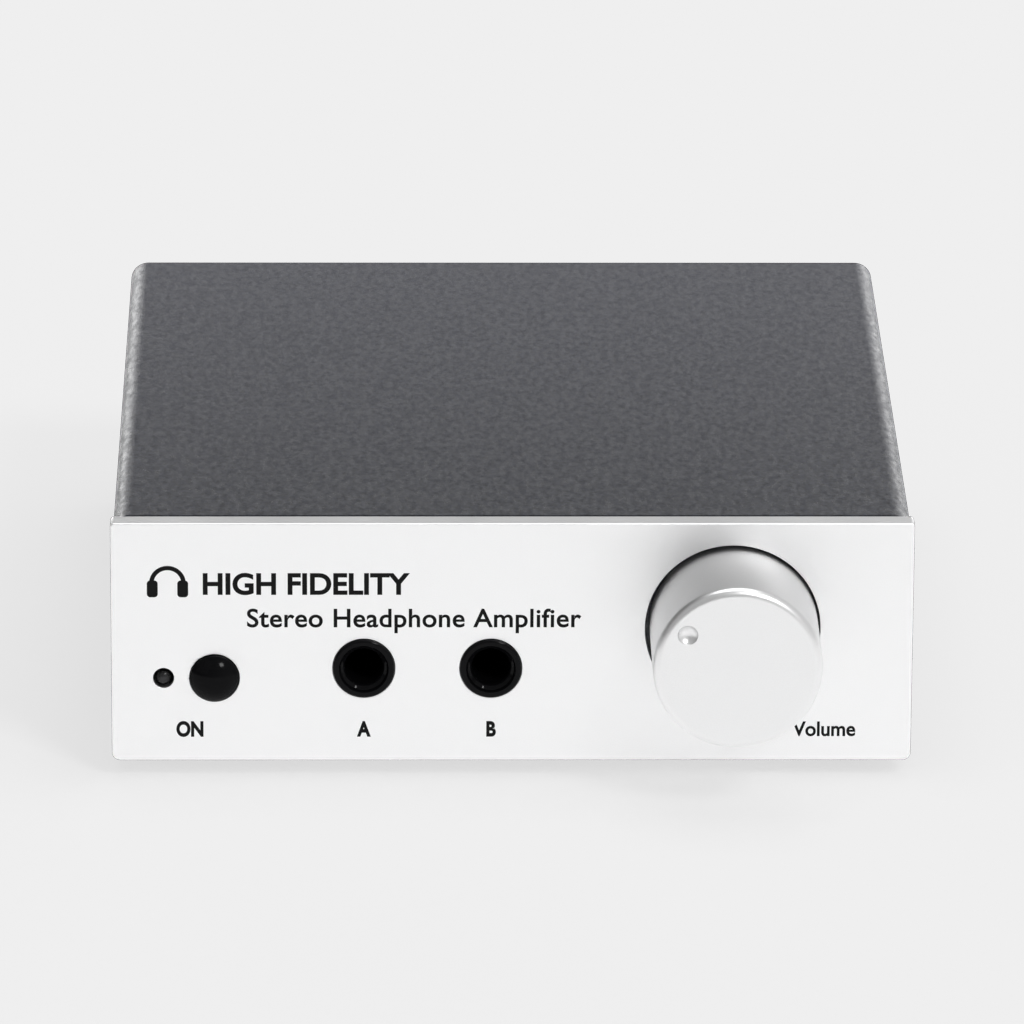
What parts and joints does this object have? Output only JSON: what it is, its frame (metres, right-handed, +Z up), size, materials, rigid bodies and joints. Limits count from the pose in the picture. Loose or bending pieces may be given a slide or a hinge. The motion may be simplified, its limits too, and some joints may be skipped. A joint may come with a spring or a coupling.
{
  "type": "headphone amplifier",
  "caption": "Compact desktop headphone amplifier: silver front plate with power button, headphone sockets and a large volume knob, on a dark sheet-steel case with rear phono sockets.",
  "frame": {"origin": "on the table, under the middle of the whole object's box", "axes": "+Z up, -Y out of the front panel, +X to the right seen from the front"},
  "size_m": [0.142, 0.1774, 0.0475],
  "materials": {
    "anodised_silver": "fine bead-blasted silver anodising",
    "black_rubber": "matte black rubber",
    "black_screw": "black oxide steel",
    "capacitor_sleeve": "dark blue shrink sleeve",
    "circuit_board": "glass-fibre board with green solder mask",
    "gloss_black_plastic": "glossy black moulding",
    "graphite_powder_coat": "fine-textured graphite powder coat on steel",
    "knob_silver": "turned and silver anodised",
    "matte_black_plastic": "satin black moulding",
    "nickel_shell": "nickel plate",
    "plated_contact": "plated phosphor-bronze and brass",
    "red_plastic": "satin red moulding",
    "resistive_track": "phenolic wafer",
    "smoked_lens": "dark smoked epoxy, unlit",
    "white_plastic": "satin white moulding",
    "zinc_steel": "bright zinc-plated steel"
  },
  "bodies": {
    "case": {"amplifier_chip": "matte_black_plastic", "base_chassis": "graphite_powder_coat", "board_screw_left_back": "zinc_steel", "board_screw_left_front": "zinc_steel", "board_screw_right_back": "zinc_steel", "board_screw_right_front": "zinc_steel", "cover_screw_left_back": "black_screw", "cover_screw_left_front": "black_screw", "cover_screw_right_back": "black_screw", "cover_screw_right_front": "black_screw", "foot_left_back": "black_rubber", "foot_left_front": "black_rubber", "foot_right_back": "black_rubber", "foot_right_front": "black_rubber", "front_panel": "anodised_silver", "gain_switch": "red_plastic", "heat_sink": "anodised_silver", "jack_a_housing": "matte_black_plastic", "jack_a_tip_spring": "plated_contact", "jack_b_housing": "matte_black_plastic", "jack_b_tip_spring": "plated_contact", "lamp_lens": "smoked_lens", "lamp_spacer": "matte_black_plastic", "main_board": "circuit_board", "muting_relay": "white_plastic", "output_transistor_left": "matte_black_plastic", "output_transistor_right": "matte_black_plastic", "panel_screw_left_lower": "zinc_steel", "panel_screw_left_upper": "zinc_steel", "panel_screw_right_lower": "zinc_steel", "panel_screw_right_upper": "zinc_steel", "phono_block": "matte_black_plastic", "phono_core_input_left": "white_plastic", "phono_core_input_right": "red_plastic", "phono_core_output_left": "white_plastic", "phono_core_output_right": "red_plastic", "phono_shell_input_left": "nickel_shell", "phono_shell_input_right": "nickel_shell", "phono_shell_output_left": "nickel_shell", "phono_shell_output_right": "nickel_shell", "pot_bushing": "nickel_shell", "pot_housing": "matte_black_plastic", "pot_nut": "zinc_steel", "pot_track_board": "resistive_track", "pot_washer": "zinc_steel", "power_inlet": "gloss_black_plastic", "power_inlet_pin": "nickel_shell", "reservoir_capacitor_negative": "capacitor_sleeve", "reservoir_capacitor_positive": "capacitor_sleeve", "switch_housing": "matte_black_plastic", "switch_spring": "zinc_steel", "top_cover": "graphite_powder_coat"},
    "volume_control": {"volume_knob": "knob_silver", "knob_set_screw": "black_screw", "pot_shaft": "nickel_shell", "pot_wiper": "plated_contact"},
    "power_switch_button": {"power_button": "gloss_black_plastic", "switch_plunger": "white_plastic"},
    "gain_left": {"gain_slider_left": "white_plastic"},
    "gain_right": {"gain_slider_right": "white_plastic"}
  },
  "joints": [
    {"name": "volume_turn", "type": "hinge", "parent": "case", "child": "volume_control", "pos_m": [0.0387, -0.06775, 0.0281], "axis": [0, 1, 0], "range_deg": [-95, 205]},
    {"name": "power_press", "type": "slide", "parent": "case", "child": "power_switch_button", "axis": [0, 1, 0], "range_m": [0, 0.0025], "deforming": ["switch_spring"]},
    {"name": "gain_left_slide", "type": "slide", "parent": "case", "child": "gain_left", "axis": [0, 1, 0], "range_m": [0, 0.0014]},
    {"name": "gain_right_slide", "type": "slide", "parent": "case", "child": "gain_right", "axis": [0, 1, 0], "range_m": [0, 0.0014]}
  ]
}
